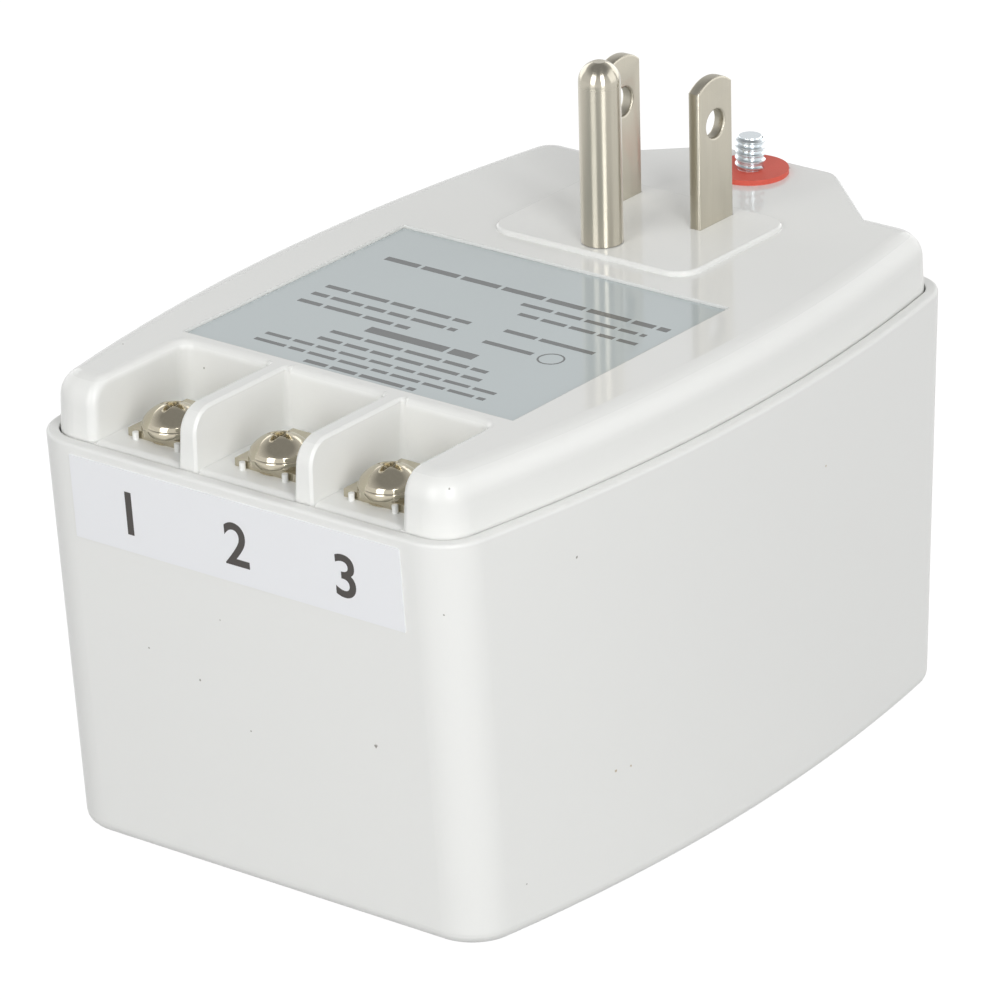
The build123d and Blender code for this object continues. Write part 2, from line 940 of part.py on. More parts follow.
write(make_rear_case(), "rear_case")
write(make_front_cover(), "front_cover")
write(make_blade(-1), "blade_left")
write(make_blade(1), "blade_right")
write(make_ground_pin(), "ground_pin")
for number, place in enumerate(terminal_places(), start=1):
    lowest = core_top if place == 0 else plate_tail_end
    write(make_terminal_plate(place, lowest), "terminal_plate_" + str(number))
    write(make_terminal_screw(place), "terminal_screw_" + str(number))
write(make_tab_screw(), "tab_screw")
write(make_tab_washer(), "tab_washer")
write(make_rating_label(), "rating_label")
write(make_terminal_label(), "terminal_label")
write(make_core_e_stack(), "core_e_stack")
write(make_core_i_stack(), "core_i_stack")
write(make_bobbin(), "bobbin")
write(make_winding(1), "primary_winding")
write(make_winding(-1), "secondary_winding")
write(make_tape(1), "primary_tape")
write(make_tape(-1), "secondary_tape")
write(make_thermal_fuse(), "thermal_fuse")
for lead_name, lead_route in make_leads().items():
    write(make_lead(lead_route, lead_name), lead_name)
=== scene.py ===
import json
import random
from math import asin, cos, pi, radians, sin, sqrt

import bmesh
import bpy
from mathutils import Matrix, Vector
from mathutils.bvhtree import BVHTree


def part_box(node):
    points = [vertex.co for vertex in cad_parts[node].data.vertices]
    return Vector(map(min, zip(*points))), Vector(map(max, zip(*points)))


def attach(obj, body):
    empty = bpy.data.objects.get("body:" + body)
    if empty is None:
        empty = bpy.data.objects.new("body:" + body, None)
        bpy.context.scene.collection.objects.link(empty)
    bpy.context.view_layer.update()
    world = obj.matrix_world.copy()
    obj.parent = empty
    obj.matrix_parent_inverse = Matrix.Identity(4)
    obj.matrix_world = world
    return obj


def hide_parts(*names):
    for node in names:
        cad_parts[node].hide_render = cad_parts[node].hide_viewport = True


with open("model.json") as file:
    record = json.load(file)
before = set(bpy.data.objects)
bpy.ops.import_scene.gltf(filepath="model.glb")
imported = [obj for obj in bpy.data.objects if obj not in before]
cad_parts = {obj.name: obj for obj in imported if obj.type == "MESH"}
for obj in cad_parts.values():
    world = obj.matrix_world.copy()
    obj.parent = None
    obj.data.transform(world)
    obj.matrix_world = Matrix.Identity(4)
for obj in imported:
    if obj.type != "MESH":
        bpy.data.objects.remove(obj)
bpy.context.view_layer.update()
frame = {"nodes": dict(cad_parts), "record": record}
nodes = frame["nodes"]

MM = 0.001

# Places and sizes taken from the frame, in metres
pin_low, pin_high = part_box("ground_pin")
washer_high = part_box("tab_washer")[1]
label_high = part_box("rating_label")[1]
paper_low, paper_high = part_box("terminal_label")
tab_screw_low, tab_screw_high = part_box("tab_screw")
plate_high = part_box("terminal_plate_1")[1]
terminal_names = ("terminal_screw_1", "terminal_screw_2", "terminal_screw_3")
blade_names = ("blade_left", "blade_right")
# The washer is as high as the pad beside it
pad_top = washer_high.z
pin_y = (pin_low.y + pin_high.y) / 2
tab_screw_y = (tab_screw_low.y + tab_screw_high.y) / 2

# Camera of the photograph, worked out from the prongs
camera_azimuth = radians(38.052)
camera_elevation = radians(23.12)
camera_roll = radians(-1.461)
pin_foot_distance = 0.80286
focal_pixels = 7225.4
pin_foot_pixel = (602.39, 241.27)
image_pixels = 1000
sensor_width = 36.0
nearest_seen = 0.05
farthest_seen = 20

# Domed terminal screws with a cross recess
head_radius = 3.5 * MM
head_side = 0.9 * MM
head_height = 2.95 * MM
cross_depth = 0.9 * MM
cross_span = 3.6 * MM
cross_width = 0.95 * MM
# On its way out the cross loses this share of its width, and this share of its depth
cross_narrowing = 0.55
cross_shallowing = 0.55
# Width of the slope at the recess's sides, and how many times wider it is at the ends of the arms
recess_edge = 0.07 * MM
arm_end_softness = 6
head_edge_radius = 0.25 * MM
head_edge_steps = 5
head_rings = 56
head_segments = 176
head_smooth_angle = radians(35)
shank_radius = 1.75 * MM

# Polish of the cover's top, and of the pin's domed end
polish_heights = (53.9 * MM, 54.4 * MM)
polished_roughness = 0.1
dome_heights = (73.4 * MM, 74.4 * MM)
dome_roughness = 0.16

# Blades: rounded edges, a bowed tip, and the shoulder and tail that hold them in the cover
blade_width = 6.35 * MM
blade_thickness = 1.52 * MM
blade_shoulder = 15.98 * MM
blade_tip = 17.15 * MM
blade_edge_radius = 0.3 * MM
blade_hole_radius = 1.65 * MM
blade_hole_height = 11.7 * MM
blade_shoulder_margin = 1.0 * MM
blade_shoulder_height = 1.2 * MM
blade_tail_width = 4.0 * MM
blade_held_depth = 4.6 * MM
blade_edge_steps = 3
blade_smooth_angle = radians(30)
blade_merge_distance = 0.001 * MM
tip_steps = 20
hole_steps = 48

# Tab screw: thread number 6, 32 turns to the inch
thread_pitch = 25.4 / 32 * MM
thread_radius = 1.75 * MM
thread_core_radius = 1.5 * MM
thread_ridge_width = 0.6 * MM
# The crest of the thread has this share of the width of its foot, which stands this deep in the core
thread_crest_share = 0.22
thread_sink = 0.02 * MM
thread_steps_per_turn = 64
thread_smooth_angle = radians(32)
neck_radius = 1.55 * MM
tab_head_radius = 3.45 * MM
tab_head_height = 2.2 * MM
tab_head_bevel = 0.7 * MM
tab_slot_width = 1.1 * MM
tab_slot_depth = 1.1 * MM
tab_slot_rings = 24
# The slot's edges are softer than the cross recess's by this many times
tab_slot_softness = 3
screw_point = 0.45 * MM
screw_segments = 96

# Print: rows of plain bars on the label, numbers on the paper under the terminals
print_thickness = 0.012 * MM
number_height = 5.1 * MM
number_baseline_above_paper_foot = 2.1 * MM
number_shift = -0.4 * MM
number_boldness = 0.012
paper_tilt = radians(4.0)
bar_gap = 0.55 * MM
ring_radius = 1.55 * MM
ring_stroke = 0.22 * MM
ring_place = (14.9 * MM, -10.4 * MM)
ring_segments = 48
# A bar is as long as its pitch times a random draw, and what is left of a row joins its last bar if short
bar_seed = 5
bar_spread = (0.6, 1.25)
shortest_bar = 1.2 * MM
# Each row: left end, right end, middle and height, in millimetres, and the pitch of its bars
label_rows = (
    (-18.3, 20.6, 3.2, 1.0, 4.6),
    (2.6, 19.4, 0.6, 0.75, 3.4),
    (4.1, 20.0, -1.9, 0.75, 3.4),
    (5.8, 17.8, -6.6, 0.8, 5.4),
    (5.8, 12.4, -10.4, 0.8, 6.6),
    (-18.5, 1.4, -7.1, 0.8, 4.4),
    (-18.5, 1.4, -9.6, 0.8, 3.6),
    (-18.5, -3.2, -12.0, 0.8, 4.0),
    (-6.8, 7.9, -14.6, 1.5, 14.7),
    (-9.7, 11.6, -17.3, 0.75, 4.0),
    (-9.7, 12.4, -19.5, 0.75, 4.4),
    (-15.3, 16.0, -21.6, 0.65, 3.2),
    (-15.3, 16.0, -23.5, 0.65, 3.4),
    (-6.8, 8.2, -25.5, 0.75, 4.8),
)

# Moulded plastic: faint clouds, fine grain, sparse specks of dust, and the colours of dust and stains
plastic_grain_per_metre = 2500.0
plastic_clouds_per_metre = 45.0
plastic_cloud_share = 0.8
specks_per_metre = 85.0
speck_size = 0.012
speck_share = 0.05
speck_colour = (0.42, 0.41, 0.38)
dust_colour = (0.26, 0.25, 0.22)
stain_colour = (0.5, 0.42, 0.3)

# A single mark: its usual radius, how many times wider it is where it has faded out, its edge's waves
mark_radius = 0.2 * MM
mark_fade = 2.0
mark_waves_per_metre = 4000.0

# Clouds in the colour of every sheet
sheet_clouds_per_metre = 90.0
sheet_cloud_share = 0.4

# Turn of a drawn metal's shine from its tangent, as a share of a full turn
drawn_turn = 0.25

# The wave texture runs through this many radians in a unit at scale one
wave_radians = 20

# Each plastic: colour, shade, lowest and highest roughness, depth of the grain, radius of its soft edges
case_finish = ((0.815, 0.82, 0.8), (0.8, 0.805, 0.788), (0.34, 0.42), 0.006 * MM, 0.3 * MM)
cover_finish = ((0.815, 0.82, 0.798), (0.8, 0.805, 0.785), (0.26, 0.34), 0.002 * MM, 0.2 * MM)

# Each metal: colour, shade, lowest and highest roughness, lines in a metre along X, Y and Z, their depth,
# radius of its soft edges, and how much it is drawn
prong_finish = (
    (0.53, 0.5, 0.42), (0.48, 0.45, 0.375), (0.26, 0.32), (5000, 5000, 150), 0.0012 * MM, 0.0, 0.95,
)
terminal_finish = (
    (0.6, 0.55, 0.44), (0.53, 0.485, 0.38), (0.07, 0.14), (2500, 2500, 2500), 0.002 * MM, 0.06 * MM, 0.0,
)
zinc_finish = (
    (0.74, 0.79, 0.82), (0.64, 0.69, 0.72), (0.18, 0.32), (3000, 3000, 3000), 0.005 * MM, 0.0, 0.0,
)

# Each striped material: colour, shade, lowest and highest roughness, axis across its stripes, their pitch
# and depth, and how metallic it is
core_finish = ((0.2, 0.21, 0.23), (0.08, 0.085, 0.095), (0.4, 0.6), "Z", 0.5 * MM, 0.05 * MM, 0.8)
copper_finish = ((0.72, 0.28, 0.11), (0.42, 0.14, 0.05), (0.2, 0.35), "X", 0.6 * MM, 0.15 * MM, 1.0)

# Each sheet, film, moulding or ink: colour, shade, lowest and highest roughness, grains in a metre and
# their depth
sheet_finishes = {
    "rating_label": ((0.52, 0.575, 0.585), (0.505, 0.56, 0.57), (0.07, 0.11), 3000.0, 0.001 * MM),
    "terminal_label": ((0.85, 0.86, 0.88), (0.835, 0.845, 0.865), (0.45, 0.6), 5000.0, 0.006 * MM),
    "red_fibre": ((0.74, 0.12, 0.08), (0.66, 0.095, 0.062), (0.45, 0.65), 2500.0, 0.02 * MM),
    "bobbin_plastic": ((0.72, 0.68, 0.55), (0.66, 0.62, 0.5), (0.35, 0.5), 2500.0, 0.01 * MM),
    "yellow_tape": ((0.78, 0.56, 0.1), (0.68, 0.47, 0.07), (0.18, 0.3), 1500.0, 0.01 * MM),
    "fuse_shell": ((0.62, 0.62, 0.6), (0.5, 0.5, 0.48), (0.25, 0.4), 3000.0, 0.005 * MM),
    "black_insulation": ((0.025, 0.025, 0.026), (0.018, 0.018, 0.018), (0.35, 0.5), 3000.0, 0.01 * MM),
    "white_insulation": ((0.8, 0.8, 0.77), (0.74, 0.74, 0.71), (0.35, 0.5), 3000.0, 0.01 * MM),
    "green_insulation": ((0.03, 0.26, 0.07), (0.02, 0.2, 0.05), (0.35, 0.5), 3000.0, 0.01 * MM),
    "blue_insulation": ((0.03, 0.1, 0.42), (0.02, 0.07, 0.34), (0.35, 0.5), 3000.0, 0.01 * MM),
    "label_ink": ((0.16, 0.17, 0.17), (0.13, 0.138, 0.14), (0.2, 0.3), 3000.0, 0.001 * MM),
    "number_ink": ((0.06, 0.052, 0.046), (0.042, 0.036, 0.032), (0.4, 0.55), 4000.0, 0.002 * MM),
}

# Floor: half its side, its grain, its tones, and how strongly and by what share it glows to the camera
floor_half = 3.0
floor_grain_per_metre = 300.0
floor_clouds_per_metre = 5.0
floor_cloud_share = 0.5
floor_shade = (0.38, 0.38, 0.38)
floor_tone = (0.42, 0.42, 0.42)
floor_roughness = 0.9
floor_glow = 1.18
floor_glow_share = 0.85

# Surroundings: their light grows between two heights, and the backdrop that is seen darkens between two
tent_heights = (0.0, 0.7)
tent_strengths = (0.2, 0.43)
backdrop_heights = (0.45, 0.85)
backdrop_strengths = (0.95, 0.35)

# Lamps: turn from the camera's side and elevation in degrees, distance, width and height in metres, power
lamp_aim = (0, 0, 0.04)
lamps = (
    ("soft_left", -37, 22, 1.0, 0.45, 0.9, 4.0),
    ("soft_right", 19, 22, 1.0, 0.32, 0.9, 5.0),
    ("soft_side", 85, 22, 1.2, 1.0, 1.0, 2.6),
    ("soft_back_left", -140, 10, 1.0, 0.8, 0.8, 2.2),
    ("soft_back_right", 140, 10, 1.0, 0.8, 0.8, 2.2),
)

# Dust and marks on the plastic: their pixels in the photograph and their radii
case_dust = (
    ((376, 746), 0.26 * MM),
    ((577, 557), 0.17 * MM),
    ((200, 680), 0.16 * MM),
    ((149, 648), 0.12 * MM),
    ((220, 620), 0.10 * MM),
    ((251, 731), 0.12 * MM),
    ((527, 884), 0.11 * MM),
    ((444, 615), 0.10 * MM),
)
case_stains = (
    ((616, 771), 0.22 * MM),
    ((631, 766), 0.17 * MM),
    ((826, 466), 0.16 * MM),
)
cover_dust = (
    ((107, 345), 0.16 * MM),
    ((123, 344), 0.13 * MM),
    ((204, 368), 0.12 * MM),
    ((449, 489), 0.14 * MM),
    ((788, 168), 0.30 * MM),
)


# Camera


def photo_axes():
    """Right, up and back directions of the photograph's camera."""
    back = Vector((
        sin(camera_azimuth) * cos(camera_elevation),
        -cos(camera_azimuth) * cos(camera_elevation),
        sin(camera_elevation),
    ))
    level_right = Vector((cos(camera_azimuth), sin(camera_azimuth), 0))
    level_up = back.cross(level_right)
    right = cos(camera_roll) * level_right + sin(camera_roll) * level_up
    up = cos(camera_roll) * level_up - sin(camera_roll) * level_right
    return right, up, back


camera_right, camera_up, camera_back = photo_axes()


def camera_place():
    """Place from which the pin's foot falls on its pixel."""
    foot = Vector((0, pin_y, pad_top))
    metres_per_pixel = pin_foot_distance / focal_pixels
    off_right = (pin_foot_pixel[0] - image_pixels / 2) * metres_per_pixel
    off_up = (image_pixels / 2 - pin_foot_pixel[1]) * metres_per_pixel
    return foot + camera_back * pin_foot_distance - camera_right * off_right - camera_up * off_up


photo_place = camera_place()


def make_camera():
    """Camera at the photograph's place and angle."""
    data = bpy.data.cameras.new("photo_camera")
    data.sensor_width = sensor_width
    data.lens = focal_pixels * sensor_width / image_pixels
    data.clip_start = nearest_seen
    data.clip_end = farthest_seen
    camera = bpy.data.objects.new("photo_camera", data)
    camera.matrix_world = Matrix((
        (camera_right.x, camera_up.x, camera_back.x, photo_place.x),
        (camera_right.y, camera_up.y, camera_back.y, photo_place.y),
        (camera_right.z, camera_up.z, camera_back.z, photo_place.z),
        (0, 0, 0, 1),
    ))
    bpy.context.scene.collection.objects.link(camera)
    bpy.context.scene.camera = camera


def surface_of(node):
    """Search tree over a CAD node's surface."""
    mesh = nodes[node].data
    return BVHTree.FromPolygons([v.co for v in mesh.vertices], [p.vertices for p in mesh.polygons])


def seen_place(pixel, surface):
    """Place on a surface that the photograph shows at a pixel."""
    across = (pixel[0] - image_pixels / 2) / focal_pixels
    upward = (image_pixels / 2 - pixel[1]) / focal_pixels
    direction = (camera_right * across + camera_up * upward - camera_back).normalized()
    return surface.ray_cast(photo_place, direction)[0]


def seen_marks(marks, node):
    """Places and radii of the marks that lie on a node."""
    surface = surface_of(node)
    places = [(seen_place(pixel, surface), radius) for pixel, radius in marks]
    return [(place, radius) for place, radius in places if place is not None]


# Node tree helpers


# Places of the colour sockets on a mix node
first_colour = 6
second_colour = 7
mixed_colour = 2


def add_node(tree, kind, **settings):
    """New node of a kind, with its properties set."""
    node = tree.nodes.new(kind)
    for name, value in settings.items():
        setattr(node, name, value)
    return node


def set_inputs(node, **values):
    """Set a node's input sockets by their names, with underscores for spaces."""
    for name, value in values.items():
        node.inputs[name.replace("_", " ")].default_value = value


def start_material(name):
    """Empty material with a shader and an output, ready for its textures."""
    material = bpy.data.materials.new(name)
    material.use_nodes = True
    tree = material.node_tree
    tree.nodes.clear()
    shader = tree.nodes.new("ShaderNodeBsdfPrincipled")
    output = tree.nodes.new("ShaderNodeOutputMaterial")
    tree.links.new(shader.outputs["BSDF"], output.inputs["Surface"])
    return material, tree, shader


def place_group(tree, group, **values):
    """Place a shared effect in a material, with this material's own values."""
    node = tree.nodes.new("ShaderNodeGroup")
    node.node_tree = group
    set_inputs(node, **values)
    return node


def new_group(name, inputs, outputs):
    """Shared shader group with named inputs and outputs."""
    group = bpy.data.node_groups.new(name, "ShaderNodeTree")
    for label, kind, value in inputs:
        socket = group.interface.new_socket(label, in_out="INPUT", socket_type=kind)
        socket.default_value = value
    for label, kind in outputs:
        group.interface.new_socket(label, in_out="OUTPUT", socket_type=kind)
    start = group.nodes.new("NodeGroupInput")
    end = group.nodes.new("NodeGroupOutput")
    return group, start, end


def make_grain_group():
    """Fine uneven surface of moulded or plated pieces: a colour mask and a height."""
    group, start, end = new_group(
        "surface_grain",
        [
            ("Grain per metre", "NodeSocketFloat", plastic_grain_per_metre),
            ("Cloud per metre", "NodeSocketFloat", plastic_clouds_per_metre),
            ("Cloud share", "NodeSocketFloat", plastic_cloud_share),
        ],
        [("Mask", "NodeSocketFloat"), ("Height", "NodeSocketFloat")],
    )
    links = group.links
    place = group.nodes.new("ShaderNodeTexCoord")
    fine = add_node(group, "ShaderNodeTexNoise")
    set_inputs(fine, Detail=3.0, Roughness=0.55)
    cloud = add_node(group, "ShaderNodeTexNoise")
    set_inputs(cloud, Detail=2.0, Roughness=0.5)
    links.new(place.outputs["Object"], fine.inputs["Vector"])
    links.new(place.outputs["Object"], cloud.inputs["Vector"])
    links.new(start.outputs["Grain per metre"], fine.inputs["Scale"])
    links.new(start.outputs["Cloud per metre"], cloud.inputs["Scale"])
    blend = add_node(group, "ShaderNodeMix", data_type="FLOAT")
    links.new(start.outputs["Cloud share"], blend.inputs["Factor"])
    links.new(fine.outputs["Fac"], blend.inputs["A"])
    links.new(cloud.outputs["Fac"], blend.inputs["B"])
    links.new(blend.outputs["Result"], end.inputs["Mask"])
    links.new(fine.outputs["Fac"], end.inputs["Height"])
    return group


def make_speck_group():
    """Sparse small specks of dust: a mask that is one in a speck."""
    group, start, end = new_group(
        "dust_specks",
        [
            ("Specks per metre", "NodeSocketFloat", specks_per_metre),
            ("Speck size", "NodeSocketFloat", speck_size),
            ("Share kept", "NodeSocketFloat", speck_share),
        ],
        [("Mask", "NodeSocketFloat")],
    )
    links = group.links
    place = group.nodes.new("ShaderNodeTexCoord")
    cells = add_node(group, "ShaderNodeTexVoronoi")
    links.new(place.outputs["Object"], cells.inputs["Vector"])
    links.new(start.outputs["Specks per metre"], cells.inputs["Scale"])
    inside = add_node(group, "ShaderNodeMath", operation="LESS_THAN")
    links.new(cells.outputs["Distance"], inside.inputs[0])
    links.new(start.outputs["Speck size"], inside.inputs[1])
    parts = group.nodes.new("ShaderNodeSeparateColor")
    links.new(cells.outputs["Color"], parts.inputs["Color"])
    chosen = add_node(group, "ShaderNodeMath", operation="LESS_THAN")
    links.new(parts.outputs["Red"], chosen.inputs[0])
    links.new(start.outputs["Share kept"], chosen.inputs[1])
    both = add_node(group, "ShaderNodeMath", operation="MULTIPLY")
    links.new(inside.outputs[0], both.inputs[0])
    links.new(chosen.outputs[0], both.inputs[1])
    links.new(both.outputs[0], end.inputs["Mask"])
    return group


def make_mark_group():
    """One mark at a given place: a mask that fades out at an uneven edge."""
    group, start, end = new_group(
        "single_mark",
        [
            ("Place", "NodeSocketVector", (0.0, 0.0, 0.0)),
            ("Radius", "NodeSocketFloat", mark_radius),
        ],
        [("Mask", "NodeSocketFloat")],
    )
    links = group.links
    place = group.nodes.new("ShaderNodeTexCoord")
    apart = add_node(group, "ShaderNodeVectorMath", operation="DISTANCE")
    links.new(place.outputs["Object"], apart.inputs[0])
    links.new(start.outputs["Place"], apart.inputs[1])
    uneven = add_node(group, "ShaderNodeTexNoise")
    set_inputs(uneven, Scale=mark_waves_per_metre, Detail=2.0, Roughness=0.5)
    links.new(place.outputs["Object"], uneven.inputs["Vector"])
    edge = add_node(group, "ShaderNodeMath", operation="MULTIPLY")
    links.new(start.outputs["Radius"], edge.inputs[0])
    links.new(uneven.outputs["Fac"], edge.inputs[1])
    reach = add_node(group, "ShaderNodeMath", operation="MULTIPLY")
    reach.inputs[1].default_value = mark_fade
    links.new(edge.outputs[0], reach.inputs[0])
    fade = add_node(group, "ShaderNodeMapRange")
    set_inputs(fade, To_Min=1.0, To_Max=0.0)
    links.new(apart.outputs["Value"], fade.inputs["Value"])
    links.new(edge.outputs[0], fade.inputs["From Min"])
    links.new(reach.outputs[0], fade.inputs["From Max"])
    links.new(fade.outputs["Result"], end.inputs["Mask"])
    return group


grain_group = make_grain_group()
speck_group = make_speck_group()
mark_group = make_mark_group()


def mix_colours(tree, mask, first, second):
    """Colour that goes from the first to the second as the mask goes from zero to one."""
    mix = add_node(tree, "ShaderNodeMix", data_type="RGBA")
    mix.inputs[first_colour].default_value = (*first, 1)
    mix.inputs[second_colour].default_value = (*second, 1)
    tree.links.new(mask, mix.inputs["Factor"])
    return mix.outputs[mixed_colour]


def cover_colour(tree, below, mask, colour):
    """Lay a colour over what is below it, where the mask is one."""
    mix = add_node(tree, "ShaderNodeMix", data_type="RGBA")
    mix.inputs[second_colour].default_value = (*colour, 1)
    tree.links.new(below, mix.inputs[first_colour])
    tree.links.new(mask, mix.inputs["Factor"])
    return mix.outputs[mixed_colour]


def height_mask(tree, start, end):
    """Mask that goes from zero to one between two heights of the part."""
    place = tree.nodes.new("ShaderNodeTexCoord")
    axes = tree.nodes.new("ShaderNodeSeparateXYZ")
    tree.links.new(place.outputs["Object"], axes.inputs["Vector"])
    ramp = add_node(tree, "ShaderNodeMapRange", interpolation_type="SMOOTHSTEP")
    set_inputs(ramp, From_Min=start, From_Max=end, To_Min=0.0, To_Max=1.0)
    tree.links.new(axes.outputs["Z"], ramp.inputs["Value"])
    return ramp.outputs["Result"]


def smoother_above(tree, roughness, heights, smooth):
    """Roughness that falls to a smoother value between two heights."""
    fade = add_node(tree, "ShaderNodeMix", data_type="FLOAT")
    tree.links.new(height_mask(tree, *heights), fade.inputs["Factor"])
    tree.links.new(roughness, fade.inputs["A"])
    fade.inputs["B"].default_value = smooth
    return fade.outputs["Result"]


def range_of(tree, mask, low, high):
    """Number that goes from low to high as the mask goes from zero to one."""
    reach = add_node(tree, "ShaderNodeMapRange")
    set_inputs(reach, To_Min=low, To_Max=high)
    tree.links.new(mask, reach.inputs["Value"])
    return reach.outputs["Result"]


def add_bump(tree, shader, height, distance, soft_edge=0.0):
    """Bump of a real depth, in metres, over edges softened to a radius where one is given."""
    bump = tree.nodes.new("ShaderNodeBump")
    set_inputs(bump, Distance=distance, Strength=1.0)
    tree.links.new(height, bump.inputs["Height"])
    if soft_edge > 0:
        edge = add_node(tree, "ShaderNodeBevel", samples=6)
        edge.inputs["Radius"].default_value = soft_edge
        tree.links.new(edge.outputs["Normal"], bump.inputs["Normal"])
    tree.links.new(bump.outputs["Normal"], shader.inputs["Normal"])


def all_marks(tree, marks):
    """Mask of several single marks together."""
    total = None
    for place, radius in marks:
        mark = place_group(tree, mark_group, Place=place, Radius=radius)
        if total is None:
            total = mark.outputs["Mask"]
            continue
        both = add_node(tree, "ShaderNodeMath", operation="MAXIMUM")
        tree.links.new(total, both.inputs[0])
        tree.links.new(mark.outputs["Mask"], both.inputs[1])
        total = both.outputs[0]
    return total


# Materials


def moulded_plastic(
    name, colour, shade, roughness, grain_depth, soft_edge, dust, stains, polish=None
):
    """Grey white moulded plastic with faint clouds, fine grain, softened edges and some dust."""
    material, tree, shader = start_material(name)
    grain = place_group(tree, grain_group)
    finish = mix_colours(tree, grain.outputs["Mask"], shade, colour)
    specks = place_group(tree, speck_group)
    finish = cover_colour(tree, finish, specks.outputs["Mask"], speck_colour)
    if dust:
        finish = cover_colour(tree, finish, all_marks(tree, dust), dust_colour)
    if stains:
        finish = cover_colour(tree, finish, all_marks(tree, stains), stain_colour)
    tree.links.new(finish, shader.inputs["Base Color"])
    low, high = roughness
    dullness = range_of(tree, grain.outputs["Mask"], low, high)
    if polish:
        dullness = smoother_above(tree, dullness, polish, polished_roughness)
    tree.links.new(dullness, shader.inputs["Roughness"])
    add_bump(tree, shader, grain.outputs["Height"], grain_depth, soft_edge)
    return material


def plated_metal(name, colour, shade, roughness, stretch, grain_depth, soft_edge, drawn):
    """Plated metal with fine lines along one axis, given by how its grain is stretched."""
    material, tree, shader = start_material(name)
    place = tree.nodes.new("ShaderNodeTexCoord")
    turn = tree.nodes.new("ShaderNodeMapping")
    turn.inputs["Scale"].default_value = stretch
    lines = tree.nodes.new("ShaderNodeTexNoise")
    set_inputs(lines, Scale=1.0, Detail=4.0, Roughness=0.6)
    tree.links.new(place.outputs["Object"], turn.inputs["Vector"])
    tree.links.new(turn.outputs["Vector"], lines.inputs["Vector"])
    finish = mix_colours(tree, lines.outputs["Fac"], shade, colour)
    tree.links.new(finish, shader.inputs["Base Color"])
    low, high = roughness
    dullness = range_of(tree, lines.outputs["Fac"], low, high)
    if drawn > 0:
        dullness = smoother_above(tree, dullness, dome_heights, dome_roughness)
    tree.links.new(dullness, shader.inputs["Roughness"])
    shader.inputs["Metallic"].default_value = 1.0
    if drawn > 0:
        shader.inputs["Anisotropic"].default_value = drawn
        shader.inputs["Anisotropic Rotation"].default_value = drawn_turn
        along = add_node(tree, "ShaderNodeTangent", direction_type="RADIAL", axis="Z")
        tree.links.new(along.outputs["Tangent"], shader.inputs["Tangent"])
    add_bump(tree, shader, lines.outputs["Fac"], grain_depth, soft_edge)
    return material


def soft_sheet(name, colour, shade, roughness, grain_per_metre, grain_depth):
    """Paper, film, fibre, tape, ink or insulation with a fine uneven colour."""
    material, tree, shader = start_material(name)
    grain = place_group(
        tree,
        grain_group,
        Grain_per_metre=grain_per_metre,
        Cloud_per_metre=sheet_clouds_per_metre,
        Cloud_share=sheet_cloud_share,
    )
    finish = mix_colours(tree, grain.outputs["Mask"], shade, colour)
    tree.links.new(finish, shader.inputs["Base Color"])
    low, high = roughness
    tree.links.new(range_of(tree, grain.outputs["Mask"], low, high), shader.inputs["Roughness"])
    add_bump(tree, shader, grain.outputs["Height"], grain_depth)
    return material


def striped(name, colour, shade, roughness, axis, pitch, depth, metallic):
    """Stacked plates or laid turns: fine ridges across one axis at a real pitch."""
    material, tree, shader = start_material(name)
    place = tree.nodes.new("ShaderNodeTexCoord")
    ridges = add_node(tree, "ShaderNodeTexWave", bands_direction=axis, wave_profile="SIN")
    scale = 2 * pi / (wave_radians * pitch)
    set_inputs(ridges, Scale=scale, Distortion=0.3, Detail=2.0, Detail_Scale=3.0)
    tree.links.new(place.outputs["Object"], ridges.inputs["Vector"])
    finish = mix_colours(tree, ridges.outputs["Fac"], shade, colour)
    tree.links.new(finish, shader.inputs["Base Color"])
    low, high = roughness
    tree.links.new(range_of(tree, ridges.outputs["Fac"], low, high), shader.inputs["Roughness"])
    shader.inputs["Metallic"].default_value = metallic
    add_bump(tree, shader, ridges.outputs["Fac"], depth)
    return material


def make_materials():
    """One material for each slot of the record, and two for the print."""
    dust_on_case = seen_marks(case_dust, "rear_case")
    stains_on_case = seen_marks(case_stains, "rear_case")
    dust_on_cover = seen_marks(cover_dust, "front_cover")
    made = [
        moulded_plastic("case_plastic", *case_finish, dust_on_case, stains_on_case),
        moulded_plastic("cover_plastic", *cover_finish, dust_on_cover, [], polish_heights),
        plated_metal("prong_nickel", *prong_finish),
        plated_metal("terminal_nickel", *terminal_finish),
        plated_metal("screw_zinc", *zinc_finish),
        striped("core_steel", *core_finish),
        striped("copper_wire", *copper_finish),
    ]
    for name, finish in sheet_finishes.items():
        made.append(soft_sheet(name, *finish))
    # The frame's own materials hold the plain names, so these have a number after a dot
    return {material.name.partition(".")[0]: material for material in made}


materials = make_materials()
for part in frame["record"]["subparts"]:
    for material_slot in nodes[part["node"]].material_slots:
        material_slot.material = materials[part["material_slot"]]


# Pieces


def finish_piece(name, mesh, material_name, smooth_angle=None):
    """Link a piece's mesh as an object that rides on the body, with its finish."""
    mesh.materials.clear()
    mesh.materials.append(materials[material_name])
    piece = bpy.data.objects.new(name, mesh)
    bpy.context.scene.collection.objects.link(piece)
    if smooth_angle is not None:
        mesh.shade_smooth()
        mesh.set_sharp_from_angle(angle=smooth_angle)
    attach(piece, "root")
    return piece


